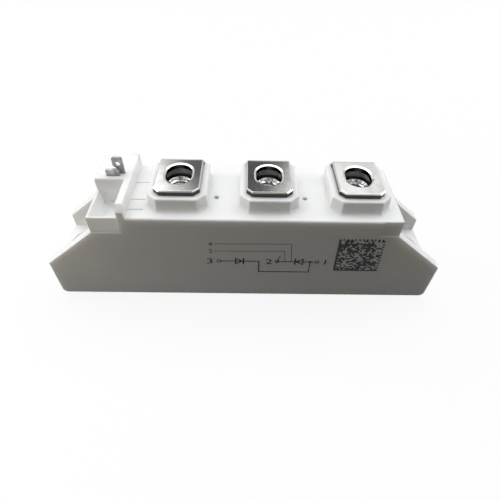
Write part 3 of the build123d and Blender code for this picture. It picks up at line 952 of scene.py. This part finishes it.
def add_dark_card(name, place, half_width, half_height, soft, lean, level):
    """Stands an upright card, narrower at its top by its lean, that shows dark in bright metal alone."""
    bm = bmesh.new()
    bmesh.ops.create_grid(bm, x_segments=4, y_segments=4, size=1.0)
    bmesh.ops.scale(bm, vec=(half_width + lean * half_height, half_height, 1.0), verts=bm.verts)
    mesh = new_mesh(name, bm)
    material = bpy.data.materials.new(name)
    material.use_nodes = True
    material.cycles.emission_sampling = "NONE"
    tree = material.node_tree
    tree.nodes.clear()
    link = tree.links.new
    spot = add_node(tree, "ShaderNodeTexCoord", (-1100, 0))
    part = add_node(tree, "ShaderNodeSeparateXYZ", (-900, 0))
    link(spot.outputs["Object"], part.inputs[0])
    across = add_maths(tree, (-700, 100), "ABSOLUTE", part.outputs["X"])
    upward = add_maths(tree, (-700, -100), "ABSOLUTE", part.outputs["Y"])
    slant = add_maths(tree, (-600, 0), "MULTIPLY_ADD", part.outputs["Y"], lean, across)
    rims = []
    for away, half in ((slant, half_width), (upward, half_height)):
        rim = add_ramp(tree, (-400, 0), half - soft, half, interpolation_type="SMOOTHSTEP")
        link(away, rim.inputs["Value"])
        rims.append(rim.outputs[0])
    most = add_maths(tree, (-200, 100), "MAXIMUM", *rims)
    glow = add_node(tree, "ShaderNodeEmission", (-200, 0), Strength=level)
    clear = add_node(tree, "ShaderNodeBsdfTransparent", (-200, -150))
    mix = add_node(tree, "ShaderNodeMixShader", (0, 0))
    out = add_node(tree, "ShaderNodeOutputMaterial", (200, 0))
    link(most, mix.inputs[0])
    link(glow.outputs[0], mix.inputs[1])
    link(clear.outputs[0], mix.inputs[2])
    link(mix.outputs[0], out.inputs["Surface"])
    mesh.materials.append(material)
    card = bpy.data.objects.new(name, mesh)
    bpy.context.scene.collection.objects.link(card)
    card.location = place
    card.rotation_euler = (math.pi / 2, 0.0, 0.0)
    card.visible_camera = False
    card.visible_diffuse = False
    card.visible_shadow = False


def floor_material(colour, bounce):
    """A white floor for the eye that sends less light back to the module and keeps its shadow."""
    material = bpy.data.materials.new("studio_floor")
    material.use_nodes = True
    tree = material.node_tree
    tree.nodes.clear()
    link = tree.links.new
    path = add_node(tree, "ShaderNodeLightPath", (-900, 300))
    eye, metal = path.outputs["Is Camera Ray"], path.outputs["Is Glossy Ray"]
    either = add_maths(tree, (-700, 300), "MAXIMUM", eye, metal)
    seen = add_maths(tree, (-500, 300), "MAXIMUM", either, path.outputs["Is Transmission Ray"])
    glow = add_maths(tree, (-250, 300), "MULTIPLY", seen, FLOOR_GLOW)
    grain = add_node(tree, "ShaderNodeTexNoise", (-900, -100), Scale=FLOOR_GRAIN_SCALE)
    tone = add_mix(tree, (-700, -100), grain.outputs[0], colour, scaled(colour, FLOOR_GRAIN_TONE))
    shown = add_mix(tree, (-450, -100), seen, bounce, tone)
    matt = add_node(tree, "ShaderNodeBsdfDiffuse", (-150, -100))
    link(shown, matt.inputs["Color"])
    white = add_node(tree, "ShaderNodeEmission", (-150, 100), Strength=1.0)
    mix = add_node(tree, "ShaderNodeMixShader", (150, 100))
    link(glow, mix.inputs[0])
    link(matt.outputs[0], mix.inputs[1])
    link(white.outputs[0], mix.inputs[2])
    out = add_node(tree, "ShaderNodeOutputMaterial", (350, 100))
    link(mix.outputs[0], out.inputs["Surface"])
    return material


class MODULE_OT_build_stage(bpy.types.Operator):
    """Builds the floor, lamps, surroundings and camera"""

    bl_idname = "module.build_stage"
    bl_label = "Studio"

    def execute(self, context):
        scene = context.scene
        studio = scene.module_studio
        bm = bmesh.new()
        bmesh.ops.create_grid(bm, x_segments=8, y_segments=8, size=FLOOR_HALF)
        mesh = new_mesh("studio_floor", bm)
        floor = bpy.data.objects.new("studio_floor", mesh)
        scene.collection.objects.link(floor)
        colours = scene.module_colours
        mesh.materials.append(floor_material(colours.floor, colours.floor_bounce))

        for *facts, power in LAMPS:
            add_lamp(*facts, getattr(studio, power))
        for *facts, share in CARDS:
            add_dark_card(*facts, studio.card_level * share)

        world = bpy.data.worlds.new("studio_surroundings")
        scene.world = world
        world.use_nodes = True
        tree = world.node_tree
        tree.nodes.clear()
        link = tree.links.new
        path = add_node(tree, "ShaderNodeLightPath", (-600, 300))
        metal, glass = path.outputs["Is Glossy Ray"], path.outputs["Is Transmission Ray"]
        either = add_maths(tree, (-450, 300), "MAXIMUM", metal, glass)
        mirrored = add_maths(tree, (-300, 450), "MULTIPLY", either, SKY_IN_METAL)
        seen = add_maths(tree, (-150, 300), "MAXIMUM", path.outputs["Is Camera Ray"], mirrored)
        dim = add_node(tree, "ShaderNodeBackground", (-300, 0), Color=DIM_SKY, Strength=studio.ambient)
        white = add_node(tree, "ShaderNodeBackground", (-300, 150), Color=(*WHITE, 1.0), Strength=1.0)
        mix = add_node(tree, "ShaderNodeMixShader", (0, 100))
        out = add_node(tree, "ShaderNodeOutputWorld", (250, 100))
        link(seen, mix.inputs[0])
        link(dim.outputs[0], mix.inputs[1])
        link(white.outputs[0], mix.inputs[2])
        link(mix.outputs[0], out.inputs["Surface"])

        lens = bpy.data.cameras.new("camera")
        lens.sensor_fit = "HORIZONTAL"
        lens.sensor_width = SENSOR
        lens.lens = studio.lens
        lens.clip_start, lens.clip_end = CLIP_RANGE
        camera = bpy.data.objects.new("camera", lens)
        scene.collection.objects.link(camera)
        turn, dip, roll = studio.camera_turn, studio.camera_dip, studio.camera_roll
        forward = Vector((math.sin(turn) * math.cos(dip), math.cos(turn) * math.cos(dip), -math.sin(dip)))
        right = Vector((math.cos(turn), -math.sin(turn), 0.0))
        up = right.cross(forward)
        across = right * math.cos(roll) + up * math.sin(roll)
        upward = up * math.cos(roll) - right * math.sin(roll)
        axes = Matrix((across, upward, -forward)).transposed()
        camera.matrix_world = Matrix.Translation(studio.camera_place) @ axes.to_4x4()
        scene.camera = camera
        scene.view_settings.view_transform = "Standard"
        return {"FINISHED"}


class MODULE_PT_panel(bpy.types.Panel):
    """Lists the module's operators and settings"""

    bl_idname = "MODULE_PT_panel"
    bl_label = "Bridge Module"
    bl_space_type = "VIEW_3D"
    bl_region_type = "UI"
    bl_category = "Bridge Module"

    def draw(self, context):
        layout = self.layout
        for operator in OPERATORS:
            layout.operator(operator.bl_idname)
        for label, settings in (
            ("Colours", context.scene.module_colours),
            ("Sizes", context.scene.module_sizes),
            ("Studio", context.scene.module_studio),
        ):
            box = layout.box()
            box.label(text=label)
            for key in settings.__annotations__:
                box.prop(settings, key)


OPERATORS = (
    MODULE_OT_build_stage,
    MODULE_OT_dress_case,
    MODULE_OT_dress_terminals,
    MODULE_OT_dress_tabs,
    MODULE_OT_dress_base,
    MODULE_OT_dress_inside,
    MODULE_OT_make_nuts,
    MODULE_OT_print_circuit,
    MODULE_OT_print_code,
)
CLASSES = (ModuleColours, ModuleSizes, StudioSettings, *OPERATORS, MODULE_PT_panel)


def register():
    for kind in CLASSES:
        bpy.utils.register_class(kind)
    bpy.types.Scene.module_colours = PointerProperty(type=ModuleColours)
    bpy.types.Scene.module_sizes = PointerProperty(type=ModuleSizes)
    bpy.types.Scene.module_studio = PointerProperty(type=StudioSettings)


def unregister():
    del bpy.types.Scene.module_studio
    del bpy.types.Scene.module_sizes
    del bpy.types.Scene.module_colours
    for kind in reversed(CLASSES):
        bpy.utils.unregister_class(kind)


def main():
    register()
    bpy.ops.module.build_stage()
    bpy.ops.module.dress_case()
    bpy.ops.module.dress_terminals()
    bpy.ops.module.dress_tabs()
    bpy.ops.module.dress_base()
    bpy.ops.module.dress_inside()
    bpy.ops.module.make_nuts()
    bpy.ops.module.print_circuit()
    bpy.ops.module.print_code()


if __name__ == "__main__":
    main()
